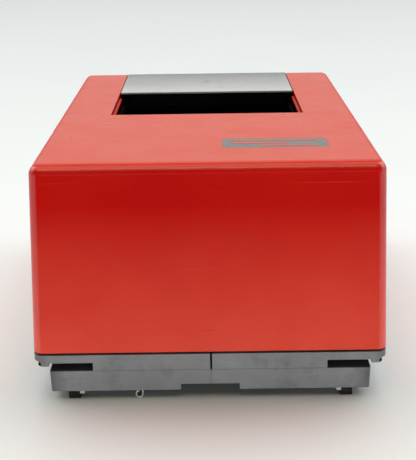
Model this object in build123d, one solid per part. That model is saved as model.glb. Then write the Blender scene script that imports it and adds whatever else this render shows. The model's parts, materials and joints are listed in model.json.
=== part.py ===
from build123d import *
import os

# Burner flame-safeguard control: a chassis tray with plug-in modules under a red dust cover.
# Frame: origin at the bottom centre of the bounding box, +Z up, +X right,
# +Y from the end that carries the nameplate to the end that carries the programmer module.
# Everything is in millimetres.

# ---- overall ----
COVER_W = 197.0          # width of the dust cover at its open end
COVER_L = 302.0          # length of the dust cover at its open end
COVER_BOTTOM = 28.5
COVER_TOP = 135.0
COVER_DRAFT = 3.0        # each side comes in by this much from bottom to top
COVER_WALL = 3.0
COVER_EDGE_R = 6.0
COVER_CORNER_R = 6.2

# ---- nameplate on the cover ----
PLATE_W = 60.0
PLATE_L = 24.0
PLATE_R = 4.0
PLATE_T = 0.5
PLATE_X = 38.5
PLATE_Y = -101.0

# ---- window in the cover ----
WINDOW_HALF = 62.0
WINDOW_FRONT = -15.5
LEDGE_DEPTH = 4.0        # the ledge lies this far below the top face
LEDGE_WIDTH = 1.2
LEDGE_THICK = 1.6

# ---- chassis tray ----
RIM_W = 197.0
RIM_L = 301.0
RIM_R = 6.0
RIM_BOTTOM = 22.2
RIM_STEP_Z = 23.2        # below this the rim is narrower
RIM_STEP = 2.2
RIM_TOP = 26.9
SKIRT_Z = 20.3           # the rim's long sides reach down to here, outside the block
FLOOR_TOP = 25.0
LIP_TOP = 34.5
LIP_HALF_W = 94.4
LIP_HALF_L = 147.0
LIP_WALL = 2.0
SLIT_W = 1.1
SLIT_DEEP = 12.0
NECK_HALF_W = 65.4       # between the corner slots
SLOT_LEN = 25.0          # how far the corner slots run along the long side
NECK_HALF_L = 150.4

# ---- lower block and what hangs from it ----
BLOCK_HALF_TOP = 89.6
BLOCK_HALF_BOTTOM = 89.3
BLOCK_HALF_L = 150.7
BLOCK_TOP = 17.4
BLOCK_BOTTOM = 5.2
BLOCK_WALL = 3.0
BLOCK_END = 10.0
DECK = 2.8
NOTCH_HALF = 16.5
NOTCH_H = 3.5
FOOT_IN = 70.6
FOOT_OUT = 79.8
FOOT_SLOPE = 2.8
FOOT_Y0 = 142.6
FOOT_Y1 = 148.8
CONTACTS = 12
CONTACT_PITCH = 22.0
CONTACT_X = 71.5
HOOK_X = 40.0
HOOK_Y = 147.8
HOOK_HALF_W = 1.5
HOOK_R = 2.2
HOOK_T = 0.7
HOOK_LOW = 0.2

# ---- boards ----
BOARD_Z = 30.0
BOARD_T = 1.6
BOARD_HALF_W = 84.0
BOARD_HALF_L = 138.0
BOARD_TOP = BOARD_Z + BOARD_T
BOARD_SCREWS = [(-80, -133), (80, -133), (-80, 0), (80, 0), (-80, 133), (80, 133)]

# ---- retaining screw ----
SCREW_X = 0.0
SCREW_Y = -66.0
SCREW_R = 2.5
SCREW_LOW = 3.0
SCREW_THREAD_TOP = 15.0
SCREW_NECK_R = 2.1
FERRULE_TOP = 48.0
FERRULE_R = 6.0

# ---- display cradle ----
CRADLE_HALF = 60.2
CRADLE_Y0 = -13.8
CRADLE_Y1 = 62.2
CRADLE_FLOOR = 94.0
CRADLE_TOP = 126.5
CRADLE_WALL = 2.0
LEG = 8.0

# ---- programmer module ----
LID_HALF = 61.65
LID_Y0 = 64.9
LID_Y1 = 146.6
LID_T = 1.2
LID_BACK_R = 2.0         # rounding of the edge between the lid and its apron
APRON_T = 2.0
APRON_BOTTOM = 29.2
PROG_HALF = 57.0
PROG_Y0 = 67.0
PROG_Y1 = 142.0
PROG_Z0 = 46.0
PROG_BOARD_X = -50.0
SWITCH_Z = 106.0
DIP_Y = 86.0
DIP_PITCH = 2.54
DIP_COUNT = 6
DIP_TRAVEL = 1.5
DIP_SLOT_HALF = 2.4
TOGGLE_Y = 106.0
RESET_Y = 122.0

# ---- amplifier module ----
AMP_HALF = 48.0
AMP_Y0 = -47.0
AMP_Y1 = -21.0
AMP_Z0 = 44.0
AMP_TOP = 122.0

# ---- transformer ----
TR_X = -50.0
TR_Y = -97.0
TR_W = 57.0
TR_D = 24.0
TR_H = 48.0
TR_Z0 = 33.2
TR_LEG = 9.5             # half width of the middle leg
TR_WINDOW = 9.5          # width of each window
TR_YOKE = 9.5

RELAYS = [(28, -127), (62, -127), (62, -109), (62, -91), (62, -73)]
RELAY_X = 28.0
RELAY_Y = 13.0
RELAY_H = 26.0


def block(x0, x1, y0, y1, z0, z1):
    """A box between two corners."""
    centre = Pos((x0 + x1) / 2, (y0 + y1) / 2, (z0 + z1) / 2)
    return centre * Box(abs(x1 - x0), abs(y1 - y0), abs(z1 - z0))


def rod(x, y, z0, z1, r):
    """A cylinder standing on Z."""
    return Pos(x, y, (z0 + z1) / 2) * Cylinder(r, z1 - z0)


def rod_x(x0, x1, y, z, r):
    """A cylinder lying along X."""
    return Pos((x0 + x1) / 2, y, z) * Rot(0, 90, 0) * Cylinder(r, abs(x1 - x0))


def rod_y(x, y0, y1, z, r):
    """A cylinder lying along Y."""
    return Pos(x, (y0 + y1) / 2, z) * Rot(90, 0, 0) * Cylinder(r, abs(y1 - y0))


def slab(w, l, r, z0, z1):
    """A rounded rectangular plate centred on the origin."""
    return Pos(0, 0, z0) * extrude(RectangleRounded(w, l, r), z1 - z0)


def tapered_block(w0, l0, z0, w1, l1, z1):
    """A straight-sided block that changes size from z0 to z1."""
    low = Pos(0, 0, z0) * Rectangle(w0, l0)
    high = Pos(0, 0, z1) * Rectangle(w1, l1)
    return loft([low, high])


def vertical_edges(shape):
    """The edges that run mostly along Z."""
    return [e for e in shape.edges() if abs((e @ 1 - e @ 0).Z) > 0.9 * e.length]


def edges_at(shape, z):
    """The edges that lie in the plane at height z."""
    return [e for e in shape.edges() if abs((e @ 0).Z - z) < 1e-3 and abs((e @ 1).Z - z) < 1e-3]


def group(shapes):
    """Several separate solids in one node."""
    return Compound(children=[s for shape in shapes for s in shape.solids()])


def save(shape, name):
    export_step(shape, "parts/" + name + ".step")


# ---------------------------------------------------------------- dust cover
def cover_shell(inset, z0, z1, corner_r, edge_r):
    """The drafted hood, brought in by inset on every side."""
    slope = COVER_DRAFT / (COVER_TOP - COVER_BOTTOM)
    low = 2 * (inset + slope * (z0 - COVER_BOTTOM))
    high = 2 * (inset + slope * (z1 - COVER_BOTTOM))
    hood = tapered_block(COVER_W - low, COVER_L - low, z0, COVER_W - high, COVER_L - high, z1)
    hood = fillet(vertical_edges(hood), corner_r)
    return fillet(edges_at(hood, z1), edge_r)


def dust_cover():
    hood = cover_shell(0, COVER_BOTTOM, COVER_TOP, COVER_CORNER_R, COVER_EDGE_R)
    hood -= cover_shell(COVER_WALL, COVER_BOTTOM - 2, COVER_TOP - COVER_WALL, 2.5, 1.5)
    inner_top = COVER_TOP - COVER_WALL
    ledge_z = COVER_TOP - LEDGE_DEPTH
    rib_out = WINDOW_HALF + 3
    rib = block(-rib_out, rib_out, WINDOW_FRONT - 3, LID_Y0 - 1.4, ledge_z - LEDGE_THICK, inner_top + 0.5)
    clear = WINDOW_HALF - LEDGE_WIDTH
    rib -= block(-clear, clear, WINDOW_FRONT + LEDGE_WIDTH, 160, 100, 140)
    hood += rib
    hood -= block(-WINDOW_HALF, WINDOW_HALF, WINDOW_FRONT, 160, ledge_z, 140)
    hood -= block(-WINDOW_HALF, WINDOW_HALF, 140, 160, 0, 140)
    for x in (-1, 1):
        for y in (-100, 0, 100):
            hood += block(x * 92.6, x * 95.4, y - 5, y + 5, LIP_TOP + 0.05, LIP_TOP + 18)
    hood -= nameplate_blank(0)
    return hood


def nameplate_blank(gap):
    """The plain nameplate, made smaller than its recess by gap."""
    plate = RectangleRounded(PLATE_W - 2 * gap, PLATE_L - 2 * gap, PLATE_R - gap)
    return Pos(PLATE_X, PLATE_Y, COVER_TOP - PLATE_T) * extrude(plate, PLATE_T + (0.0 if gap else 1.0))


# ---------------------------------------------------------------- chassis
def neck_outline(inset, z0, z1):
    """The step between the rim and the block, with the four corner slots left out."""
    narrow = block(-NECK_HALF_W + inset, NECK_HALF_W - inset,
                   -NECK_HALF_L + inset, NECK_HALF_L - inset, z0, z1)
    half_l = NECK_HALF_L - SLOT_LEN
    wide = block(-BLOCK_HALF_TOP + inset, BLOCK_HALF_TOP - inset, -half_l + inset, half_l - inset, z0, z1)
    return narrow + wide


def contact_places():
    first = -CONTACT_PITCH * (CONTACTS - 1) / 2
    return [first + CONTACT_PITCH * i for i in range(CONTACTS)]


def contact_slots(x):
    """The slots that the contact strips stand in."""
    return [block(x - 0.8, x + 0.8, y - 3.2, y + 3.2, BLOCK_BOTTOM, BOARD_Z) for y in contact_places()]


def chassis_tray():
    rim = slab(RIM_W, RIM_L, RIM_R, RIM_STEP_Z, RIM_TOP)
    band_w = RIM_W - 2 * RIM_STEP
    band = slab(band_w, RIM_L - 0.2, RIM_R - RIM_STEP, SKIRT_Z, RIM_STEP_Z)
    rim += band - block(-BLOCK_HALF_TOP - 0.6, BLOCK_HALF_TOP + 0.6, -160, 160, SKIRT_Z, RIM_BOTTOM)
    rim -= block(-88, 88, -141, 141, FLOOR_TOP, RIM_TOP + 1)
    tray = rim + (neck_outline(0, BLOCK_TOP, RIM_BOTTOM) - neck_outline(3, BLOCK_TOP, RIM_BOTTOM))
    lip = slab(2 * LIP_HALF_W, 2 * LIP_HALF_L, 3, RIM_TOP, LIP_TOP)
    lip -= slab(2 * (LIP_HALF_W - LIP_WALL), 2 * (LIP_HALF_L - LIP_WALL), 1.5, RIM_TOP, LIP_TOP)
    tray += lip
    for x, y in BOARD_SCREWS:
        tray += rod(x, y, FLOOR_TOP, BOARD_Z, 4.0)
        tray -= rod(x, y, FLOOR_TOP, BOARD_Z, 1.35)
    tray += rod(SCREW_X, SCREW_Y, FLOOR_TOP, FERRULE_TOP, FERRULE_R)
    tray -= rod(SCREW_X, SCREW_Y, RIM_BOTTOM, FERRULE_TOP, SCREW_R + 0.4)
    for side in (-1, 1):
        tray -= block(0, SLIT_W, side * (RIM_L / 2 - SLIT_DEEP), side * RIM_L, BLOCK_TOP, LIP_TOP)
        for slot in contact_slots(side * CONTACT_X):
            tray -= slot
    return tray


def lower_block():
    length = 2 * BLOCK_HALF_L
    body = tapered_block(2 * BLOCK_HALF_BOTTOM, length - 0.6, BLOCK_BOTTOM,
                         2 * BLOCK_HALF_TOP, length, BLOCK_TOP)
    body = fillet(vertical_edges(body), 1.5)
    inner = BLOCK_HALF_BOTTOM - BLOCK_WALL
    end = BLOCK_HALF_L - BLOCK_END
    body -= block(-inner, inner, -end, end, BLOCK_BOTTOM - 1, BLOCK_TOP - DECK)
    body -= block(-NOTCH_HALF, NOTCH_HALF, -160, 160, BLOCK_BOTTOM - 1, BLOCK_BOTTOM + NOTCH_H)
    body -= rod(SCREW_X, SCREW_Y, BLOCK_BOTTOM, BLOCK_TOP + 1, 9.0)
    for side in (-1, 1):
        seam = Pos(SLIT_W / 2, side * BLOCK_HALF_L, BLOCK_TOP) * Rot(0, 0, 45) * Box(0.5, 0.5, 40)
        body -= seam
        for slot in contact_slots(side * CONTACT_X):
            body -= slot
        body -= hook_hole(side)
    return body


def foot(x_side, y_side):
    """One tapered foot; its inner face slopes."""
    x0 = x_side * FOOT_IN
    x1 = x_side * FOOT_OUT
    toe = x0 + x_side * FOOT_SLOPE
    profile = Polyline([(x0, 0, BLOCK_BOTTOM), (toe, 0, 0), (x1, 0, 0), (x1, 0, BLOCK_BOTTOM)], close=True)
    face = make_face(profile)
    solid = extrude(face, FOOT_Y1 - FOOT_Y0, dir=(0, 1, 0))
    solid = Pos(0, min(y_side * FOOT_Y0, y_side * FOOT_Y1), 0) * solid
    return solid


def feet():
    return group([foot(x, y) for x in (-1, 1) for y in (-1, 1)])


def hook_place(side):
    """The two hooks stand at opposite corners of the block."""
    return side * HOOK_X, side * HOOK_Y


def hook_hole(side):
    x, y = hook_place(side)
    half = HOOK_HALF_W + 0.2
    return block(x + HOOK_R - 1.1, x + HOOK_R + 0.3, y - half, y + half, BLOCK_BOTTOM - 1, BLOCK_BOTTOM + 6)


def mount_hook(side):
    """A steel strip that comes down out of the block and curls round sideways."""
    x, y = hook_place(side)
    z = HOOK_LOW + HOOK_R
    front, back = y - HOOK_HALF_W, y + HOOK_HALF_W
    strip = block(x + HOOK_R - HOOK_T, x + HOOK_R, front, back, z, BLOCK_BOTTOM + 5.9)
    curl = rod_y(x, front, back, z, HOOK_R) - rod_y(x, front, back, z, HOOK_R - HOOK_T)
    curl -= block(x, x + HOOK_R - HOOK_T, front, back, z, z + HOOK_R)
    return strip + curl


def foot_clip(x_side, y_side):
    """A small bright spring tab beside each foot."""
    y = y_side * (FOOT_Y1 + 0.5)
    return block(x_side * 70.8, x_side * 73.4, y - 0.3, y + 0.3, 3.2, BLOCK_BOTTOM)


def mount_hooks():
    clips = [foot_clip(x, y) for x in (-1, 1) for y in (-1, 1)]
    return group([mount_hook(-1), mount_hook(1)] + clips)


def contact_strip(x, y, side):
    """A spring contact: a flat strip from the board with a bent tip below the block."""
    strip = block(x - 0.4, x + 0.4, y - 2.6, y + 2.6, 5.0, BOARD_Z)
    tip = block(x - side * 0.4, x + side * 3.2, y - 2.6, y + 2.6, 4.2, 5.0)
    return strip + tip


def contact_row(side):
    x = side * CONTACT_X
    return group([contact_strip(x, y, side) for y in contact_places()])


def cover_springs():
    """Leaf springs on the lip that grip the inside of the cover."""
    springs = []
    for side in (-1, 1):
        for y in (-70, 70):
            x = side * LIP_HALF_W
            leaf = block(x, x + side * 0.4, y - 6, y + 6, 28.6, LIP_TOP)
            bump = block(x, x + side * 0.8, y - 6, y + 6, 30.6, 32.2)
            springs.append(leaf + bump)
    return group(springs)


def screw(x, y, z_head, z_tip, r, head_r, head_h):
    """A pan-head screw standing on Z, head up."""
    head = rod(x, y, z_head, z_head + head_h, head_r)
    head = fillet(edges_at(head, z_head + head_h), min(0.6, head_h / 3))
    head -= block(x - head_r, x + head_r, y - 0.4, y + 0.4, z_head + head_h * 0.5, z_head + head_h + 1)
    return head + rod(x, y, z_tip, z_head, r)


def retaining_screw():
    upper = screw(SCREW_X, SCREW_Y, FERRULE_TOP + 0.2, SCREW_THREAD_TOP, SCREW_NECK_R, 5.0, 4.0)
    return upper + rod(SCREW_X, SCREW_Y, SCREW_LOW, SCREW_THREAD_TOP, SCREW_R)


def screw_clip():
    """The retaining ring that keeps the screw in the chassis."""
    ring = rod(SCREW_X, SCREW_Y, 20.6, 21.8, 4.6) - rod(SCREW_X, SCREW_Y, 20.6, 21.8, SCREW_NECK_R)
    return ring - block(SCREW_X, SCREW_X + 6, SCREW_Y - 1.2, SCREW_Y + 1.2, 20.6, 21.8)


# ---------------------------------------------------------------- motherboard
def motherboard():
    board = block(-BOARD_HALF_W, BOARD_HALF_W, -BOARD_HALF_L, BOARD_HALF_L, BOARD_Z, BOARD_TOP)
    for x, y in BOARD_SCREWS:
        board -= rod(x, y, BOARD_Z, BOARD_TOP, 1.7)
    for x, y in leg_places():
        board -= rod(x, y, BOARD_Z, BOARD_TOP, 1.5)
    for x in (-1, 1):
        board -= rod(TR_X + x * (TR_W / 2 - 4), TR_Y, BOARD_Z, BOARD_TOP, 1.7)
    board -= rod(SCREW_X, SCREW_Y, BOARD_Z, BOARD_TOP, FERRULE_R + 0.5)
    return board


def board_screws():
    return group([screw(x, y, BOARD_TOP, 25.4, 1.3, 3.0, 1.8) for x, y in BOARD_SCREWS])


def leg_places():
    x = CRADLE_HALF - LEG / 2
    return [(sx * x, y) for sx in (-1, 1) for y in (CRADLE_Y0 + LEG / 2, CRADLE_Y1 - LEG / 2)]


def display_cradle():
    """The black tray under the window that holds a plug-in display."""
    shell = block(-CRADLE_HALF, CRADLE_HALF, CRADLE_Y0, CRADLE_Y1, CRADLE_FLOOR, CRADLE_TOP)
    return shell - block(-CRADLE_HALF + CRADLE_WALL, CRADLE_HALF - CRADLE_WALL, CRADLE_Y0 + CRADLE_WALL,
                         CRADLE_Y1 - CRADLE_WALL, CRADLE_FLOOR + CRADLE_WALL, CRADLE_TOP + 1)


def cradle_posts():
    """Four pillars that stand on the board and carry the tray."""
    posts = []
    for x, y in leg_places():
        post = block(x - LEG / 2, x + LEG / 2, y - LEG / 2, y + LEG / 2, BOARD_TOP, CRADLE_FLOOR)
        posts.append(post - rod(x, y, BOARD_TOP, BOARD_TOP + 8, 1.3))
    return group(posts)


def cradle_screws():
    """Screws that come up through the board into the cradle's legs."""
    screws = []
    for x, y in leg_places():
        head = rod(x, y, BOARD_Z - 1.8, BOARD_Z, 2.8)
        screws.append(head + rod(x, y, BOARD_Z, BOARD_TOP + 7, 1.25))
    return group(screws)


def display_jack():
    """The eight-way modular socket that a display would plug into."""
    z0 = CRADLE_FLOOR + CRADLE_WALL
    body = block(-8, 8, 43, 58, z0, z0 + 14)
    body -= block(-6, 6, 46, 53.5, z0 + 2, z0 + 15)
    return body


def open_frame(x0, x1, y0, y1, z0, z1, wall):
    """A four-sided cage with no top and no bottom."""
    return block(x0, x1, y0, y1, z0, z1) - block(x0 + wall, x1 - wall, y0 + wall, y1 - wall, z0, z1)


def programmer_cage():
    cage = open_frame(-60.4, 60.4, 63.4, 144.8, BOARD_TOP, 90, 1.8)
    cage -= block(-61, -58, 74, 136, 52, 91)
    cage -= block(58, 61, 80, 130, 44, 78)
    return cage


def amplifier_cage():
    cage = open_frame(-50.4, 50.4, -49.4, -18.6, BOARD_TOP, 84, 1.8)
    cage -= block(-36, 36, -50, -47, 44, 72)
    return cage


def programmer_connector():
    body = block(PROG_BOARD_X - 4, PROG_BOARD_X + 4, 80, 130, BOARD_TOP, 43)
    return body - block(PROG_BOARD_X - 1.1, PROG_BOARD_X + 1.1, 83, 127, 34, 44)


def amplifier_connector():
    body = block(-30, 30, -38, -30, BOARD_TOP, 42)
    return body - block(-27, 27, -35.1, -32.9, 34, 43)


def relay(x, y):
    """A sealed power relay: a moulded case on a slightly larger base."""
    base = block(x - RELAY_X / 2, x + RELAY_X / 2, y - RELAY_Y / 2, y + RELAY_Y / 2, BOARD_TOP, BOARD_TOP + 2)
    case = block(x - RELAY_X / 2 + 0.4, x + RELAY_X / 2 - 0.4, y - RELAY_Y / 2 + 0.4, y + RELAY_Y / 2 - 0.4,
                 BOARD_TOP + 2, BOARD_TOP + RELAY_H)
    case = fillet(edges_at(case, BOARD_TOP + RELAY_H), 0.8)
    return base + case


# ---------------------------------------------------------------- transformer
def transformer_core():
    """The stack of E and I laminations, with its two windows."""
    core = block(TR_X - TR_W / 2, TR_X + TR_W / 2, TR_Y - TR_D / 2, TR_Y + TR_D / 2, TR_Z0, TR_Z0 + TR_H)
    for side in (-1, 1):
        x0 = TR_X + side * TR_LEG
        core -= block(x0, x0 + side * TR_WINDOW, TR_Y - TR_D, TR_Y + TR_D,
                      TR_Z0 + TR_YOKE, TR_Z0 + TR_H - TR_YOKE)
    return core


def coil_ring(half_x, half_y, z0, z1):
    """A rounded ring round the middle leg."""
    ring = Pos(TR_X, TR_Y, z0) * extrude(RectangleRounded(2 * half_x, 2 * half_y, 2.5), z1 - z0)
    inner = 0.2
    return ring - block(TR_X - TR_LEG - inner, TR_X + TR_LEG + inner,
                        TR_Y - TR_D / 2 - inner, TR_Y + TR_D / 2 + inner, z0, z1)


def transformer_bobbin():
    z0 = TR_Z0 + TR_YOKE + 0.2
    z1 = TR_Z0 + TR_H - TR_YOKE - 0.2
    half_y = TR_D / 2 + 9
    half_x = TR_LEG + TR_WINDOW - 0.3
    flanges = coil_ring(half_x, half_y, z0, z0 + 1.4) + coil_ring(half_x, half_y, z1 - 1.4, z1)
    return flanges + coil_ring(TR_LEG + 1.4, TR_D / 2 + 1.4, z0 + 1.4, z1 - 1.4)


def transformer_winding():
    z0 = TR_Z0 + TR_YOKE + 1.7
    z1 = TR_Z0 + TR_H - TR_YOKE - 1.7
    coil = coil_ring(TR_LEG + TR_WINDOW - 1.2, TR_D / 2 + 8, z0, z1)
    middle = RectangleRounded(2 * (TR_LEG + 1.5), 2 * (TR_D / 2 + 1.5), 2.5)
    return coil - Pos(TR_X, TR_Y, z0) * extrude(middle, z1 - z0)


def transformer_bracket():
    """The steel frame that clamps the core down on the board."""
    x0 = TR_X - TR_W / 2
    x1 = TR_X + TR_W / 2
    y0 = TR_Y - TR_D / 2
    y1 = TR_Y + TR_D / 2
    base = block(x0 - 1.6, x1 + 1.6, y0 + 2, y1 - 2, BOARD_TOP, TR_Z0)
    for x in (x0 - 1.6, x1):
        base += block(x, x + 1.6, y0 + 2, y1 - 2, BOARD_TOP, TR_Z0 + TR_H + 1.6)
    base += block(x0 - 1.6, x1 + 1.6, y0 + 2, y1 - 2, TR_Z0 + TR_H, TR_Z0 + TR_H + 1.6)
    for x in (x0 - 1.6, x1 + 1.6):
        outward = -1 if x < TR_X else 1
        ear = block(x, x + outward * 8, y0 + 4, y1 - 4, BOARD_TOP, TR_Z0)
        base += ear - rod(x + outward * 4, TR_Y, BOARD_TOP, TR_Z0, 1.8)
    return base


def ear_places():
    reach = TR_W / 2 + 1.6 + 4
    return [(TR_X - reach, TR_Y), (TR_X + reach, TR_Y)]


def transformer_screws():
    return group([screw(x, y, TR_Z0, BOARD_TOP + 0.1, 1.6, 3.2, 2.0) for x, y in ear_places()])


# ---------------------------------------------------------------- small parts on the board
def electrolytic_capacitors():
    cans = []
    for x, y, r, h in [(20, -106, 8, 30), (38, -106, 6.3, 22), (36, -88, 6.3, 22), (20, -86, 8, 30)]:
        can = rod(x, y, BOARD_TOP, BOARD_TOP + h, r)
        can = fillet(edges_at(can, BOARD_TOP + h), 0.8)
        cans.append(can - rod(x, y, BOARD_TOP + h - 0.4, BOARD_TOP + h + 1, r * 0.72))
    return group(cans)


def film_capacitors():
    boxes = []
    for x, y in [(-72, 18), (-72, 34), (-72, 50)]:
        box = block(x - 9, x + 9, y - 4, y + 4, BOARD_TOP, BOARD_TOP + 15)
        boxes.append(fillet(vertical_edges(box), 0.8))
    return group(boxes)


def dropping_resistors():
    """Wire-wound resistors in square ceramic bodies, for the line-voltage inputs."""
    bodies = []
    for i in range(6):
        y = 16 + i * 13
        bodies.append(block(65, 82, y - 3.2, y + 3.2, BOARD_TOP + 1.5, BOARD_TOP + 8))
        bodies[-1] += block(67, 68, y - 0.5, y + 0.5, BOARD_TOP, BOARD_TOP + 1.5)
        bodies[-1] += block(79, 80, y - 0.5, y + 0.5, BOARD_TOP, BOARD_TOP + 1.5)
    return group(bodies)


def heat_sink():
    """A finned sink beside the voltage regulator."""
    sink = block(-80, -60, -60, -57.6, BOARD_TOP, BOARD_TOP + 28)
    for i in range(5):
        x = -79.6 + i * 4.6
        sink += block(x, x + 1.2, -68, -60, BOARD_TOP, BOARD_TOP + 28)
    return sink


def voltage_regulator():
    tab = block(-75, -65, -57.6, -56.4, BOARD_TOP + 6, BOARD_TOP + 22)
    body = block(-75, -65, -56.4, -53.2, BOARD_TOP + 6, BOARD_TOP + 15)
    legs = [block(x - 0.4, x + 0.4, -55.4, -54.8, BOARD_TOP, BOARD_TOP + 6) for x in (-72.5, -70, -67.5)]
    return tab + body + legs[0] + legs[1] + legs[2]


def fuse_clips():
    clips = []
    for y in (-46, -27):
        clip = block(68.4, 75.6, y - 2.5, y + 2.5, BOARD_TOP, BOARD_TOP + 8)
        clip -= rod_y(72, y - 3, y + 3, BOARD_TOP + 5, 3.05)
        clip -= block(70.4, 73.6, y - 3, y + 3, BOARD_TOP + 5, BOARD_TOP + 9)
        clips.append(clip)
    return group(clips)


def fuse():
    return rod_y(72, -49.5, -23.5, BOARD_TOP + 5, 3.0)


# ---------------------------------------------------------------- programmer module
def programmer_lid():
    """The grey top of the programmer: a thin flat plate and an apron that closes the cover's rear notch."""
    lid = block(-LID_HALF, LID_HALF, LID_Y0, LID_Y1, COVER_TOP - LID_T, COVER_TOP)
    drop = COVER_TOP - APRON_BOTTOM
    lean = COVER_DRAFT * drop / (COVER_TOP - COVER_BOTTOM)
    outline = Polyline([(0, LID_Y1, COVER_TOP), (0, LID_Y1 + lean, APRON_BOTTOM),
                        (0, LID_Y1 + lean - APRON_T, APRON_BOTTOM), (0, LID_Y1 - APRON_T, COVER_TOP)],
                       close=True)
    apron = Pos(-LID_HALF, 0, 0) * extrude(make_face(outline), 2 * LID_HALF, dir=(1, 0, 0))
    lid += apron
    back = [e for e in edges_at(lid, COVER_TOP) if e.center().Y > LID_Y1 - 0.1]
    lid = fillet(back, LID_BACK_R)
    others = [e for e in edges_at(lid, COVER_TOP) if e.center().Y < LID_Y1 - LID_BACK_R - 0.5]
    return fillet(others, 0.5)


def control_windows():
    """The openings in the programmer's side wall for its controls."""
    half = DIP_COUNT * DIP_PITCH / 2 + 1.2
    x0 = -PROG_HALF - 1
    x1 = -PROG_HALF + 3
    cuts = [block(x0, x1, DIP_Y - half, DIP_Y + half, SWITCH_Z - 5, SWITCH_Z + 5)]
    cuts.append(block(x0, x1, TOGGLE_Y - 4.5, TOGGLE_Y + 4.5, SWITCH_Z - 6.5, SWITCH_Z + 6.5))
    cuts.append(rod_x(x0, x1, RESET_Y, SWITCH_Z, 3.4))
    for i in range(4):
        cuts.append(rod_x(x0, x1, DIP_Y - 6 + 6 * i, SWITCH_Z + 16, 1.7))
    for i in range(2):
        cuts.append(rod_x(x0, x1, RESET_Y - 12 + 10 * i, SWITCH_Z + 16, 2.4))
    return cuts


def programmer_housing():
    top = COVER_TOP - LID_T
    shell = block(-PROG_HALF, PROG_HALF, PROG_Y0, PROG_Y1, PROG_Z0, top)
    shell = fillet(vertical_edges(shell), 2.0)
    shell += block(-LID_HALF + 0.2, LID_HALF - 0.2, LID_Y0 + 2.5, LID_Y1 - APRON_T - 0.2, top - 2.2, top)
    shell -= block(-PROG_HALF + 2, PROG_HALF - 2, PROG_Y0 + 2, PROG_Y1 - 2, PROG_Z0 - 1, top - 2)
    for cut in control_windows():
        shell -= cut
    return shell


def programmer_board():
    x0 = PROG_BOARD_X - 0.8
    x1 = PROG_BOARD_X + 0.8
    return block(x0, x1, 70, 139, 50, 129) + block(x0, x1, 84, 126, 35, 50)


def dip_switch_body():
    half = DIP_COUNT * DIP_PITCH / 2 + 0.8
    x0 = PROG_BOARD_X - 0.8
    x1 = -PROG_HALF + 0.4
    body = block(x1, x0, DIP_Y - half, DIP_Y + half, SWITCH_Z - 4.6, SWITCH_Z + 4.6)
    for y in dip_places():
        body -= block(x1, x1 + 1.6, y - 0.75, y + 0.75, SWITCH_Z - DIP_SLOT_HALF, SWITCH_Z + DIP_SLOT_HALF)
    return body


def dip_places():
    first = DIP_Y - DIP_PITCH * (DIP_COUNT - 1) / 2
    return [first + DIP_PITCH * i for i in range(DIP_COUNT)]


def dip_slider(y):
    """One slider of the option switch; it rests at the lower end of its slot."""
    x = -PROG_HALF + 0.4
    reach = DIP_SLOT_HALF - 0.2
    return block(x - 0.9, x + 1.3, y - 0.6, y + 0.6, SWITCH_Z - reach, SWITCH_Z + reach - DIP_TRAVEL)


def toggle_body():
    x0 = PROG_BOARD_X - 0.8
    x1 = -PROG_HALF + 0.6
    body = block(x1, x0, TOGGLE_Y - 4, TOGGLE_Y + 4, SWITCH_Z - 6, SWITCH_Z + 6)
    return body - block(x1, x1 + 4, TOGGLE_Y - 1.8, TOGGLE_Y + 1.8, SWITCH_Z - 3.6, SWITCH_Z + 3.6)


def run_check_lever():
    """The run/check lever, a small bat handle on a cross pin."""
    lever = rod_x(-60.6, -53.6, TOGGLE_Y, SWITCH_Z, 1.0)
    return lever + rod_y(-53.6, TOGGLE_Y - 1.7, TOGGLE_Y + 1.7, SWITCH_Z, 1.1)


def reset_body():
    x0 = PROG_BOARD_X - 0.8
    body = block(-54.6, x0, RESET_Y - 3.6, RESET_Y + 3.6, SWITCH_Z - 3.6, SWITCH_Z + 3.6)
    return body - rod_x(-55, x0 - 0.6, RESET_Y, SWITCH_Z, 2.0)


def reset_button():
    stem = rod_x(-57.2, -53.2, RESET_Y, SWITCH_Z, 1.9)
    return stem + rod_x(-60.0, -56.8, RESET_Y, SWITCH_Z, 3.1)


def status_leds():
    lamps = []
    for i in range(4):
        y = DIP_Y - 6 + 6 * i
        lamps.append(rod_x(-58.0, PROG_BOARD_X - 0.8, y, SWITCH_Z + 16, 1.5))
    return group(lamps)


def test_jacks():
    jacks = []
    for i in range(2):
        y = RESET_Y - 12 + 10 * i
        jack = rod_x(-58.2, PROG_BOARD_X - 0.8, y, SWITCH_Z + 16, 2.2)
        jacks.append(jack - rod_x(-59, -53, y, SWITCH_Z + 16, 1.0))
    return group(jacks)


def processor_chip():
    x = PROG_BOARD_X + 0.8
    body = block(x + 0.8, x + 4.8, 84, 98, 62, 112)
    for i in range(14):
        z = 64 + 3.4 * i
        for y in (83.2, 98.0):
            body += block(x, x + 2.6, y, y + 0.8, z - 0.4, z + 0.4)
    return body


# ---------------------------------------------------------------- amplifier module
def amplifier_housing():
    shell = block(-AMP_HALF, AMP_HALF, AMP_Y0, AMP_Y1, AMP_Z0, AMP_TOP)
    shell = fillet(vertical_edges(shell), 2.0)
    shell -= block(-AMP_HALF + 2, AMP_HALF - 2, AMP_Y0 + 2, AMP_Y1 - 2, AMP_Z0 - 1, AMP_TOP - 2)
    shell -= rod(34, -34, AMP_TOP - 3, AMP_TOP + 1, 2.4)
    shell += block(-22, 22, -36, -32, AMP_TOP, AMP_TOP + 2.6)
    return shell


def amplifier_board():
    return block(-42, 30, -34.8, -33.2, 48, 118) + block(-26, 26, -34.8, -33.2, 35, 48)


def amplifier_jack():
    jack = rod(34, -34, AMP_TOP - 8, AMP_TOP + 1.2, 2.2)
    return jack - rod(34, -34, AMP_TOP - 6, AMP_TOP + 2, 1.0)


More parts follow.
